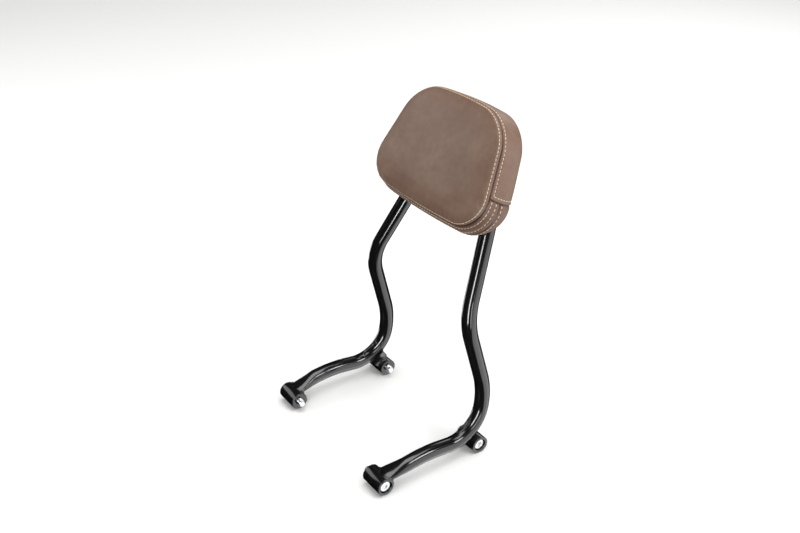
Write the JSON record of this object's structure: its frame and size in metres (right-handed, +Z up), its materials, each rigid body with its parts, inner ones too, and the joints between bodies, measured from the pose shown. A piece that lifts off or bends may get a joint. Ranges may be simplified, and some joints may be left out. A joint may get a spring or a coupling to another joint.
{
  "type": "motorcycle passenger backrest",
  "caption": "Raked bent-tube hoop on bolted mounting bosses, carrying a crowned, topstitched leather back pad.",
  "frame": {"origin": "middle of the machine, at the foot of the bounding box", "axes": "+X to the machine's left, +Y to its rear, +Z up; the rider's side of the pad faces -Y"},
  "size_m": [0.282, 0.2899, 0.4987],
  "materials": {
    "gloss_black": "gloss black powder coat",
    "zinc_plate": "bright zinc plate",
    "brown_leather": "smooth brown leather with a low sheen",
    "black_plastic": "moulded black",
    "foam": "open-cell moulded foam"
  },
  "bodies": {
    "root": {"hoop_tube": "gloss_black", "left_front_sleeve": "gloss_black", "right_front_sleeve": "gloss_black", "left_rear_boss": "gloss_black", "right_rear_boss": "gloss_black", "lower_strap": "gloss_black", "upper_strap": "gloss_black", "left_front_screw": "zinc_plate", "left_front_washer": "zinc_plate", "left_rear_screw": "zinc_plate", "left_rear_washer": "zinc_plate", "right_front_screw": "zinc_plate", "right_front_washer": "zinc_plate", "right_rear_screw": "zinc_plate", "right_rear_washer": "zinc_plate", "pad_base": "black_plastic", "foam_core": "foam", "front_panel": "brown_leather", "upper_boxing": "brown_leather", "lower_boxing_front": "brown_leather", "lower_boxing_rear": "brown_leather", "lower_left_pad_screw": "zinc_plate", "lower_left_pad_washer": "zinc_plate", "lower_left_t_nut": "zinc_plate", "lower_right_pad_screw": "zinc_plate", "lower_right_pad_washer": "zinc_plate", "lower_right_t_nut": "zinc_plate", "upper_left_pad_screw": "zinc_plate", "upper_left_pad_washer": "zinc_plate", "upper_left_t_nut": "zinc_plate", "upper_right_pad_screw": "zinc_plate", "upper_right_pad_washer": "zinc_plate", "upper_right_t_nut": "zinc_plate"}
  },
  "joints": []
}
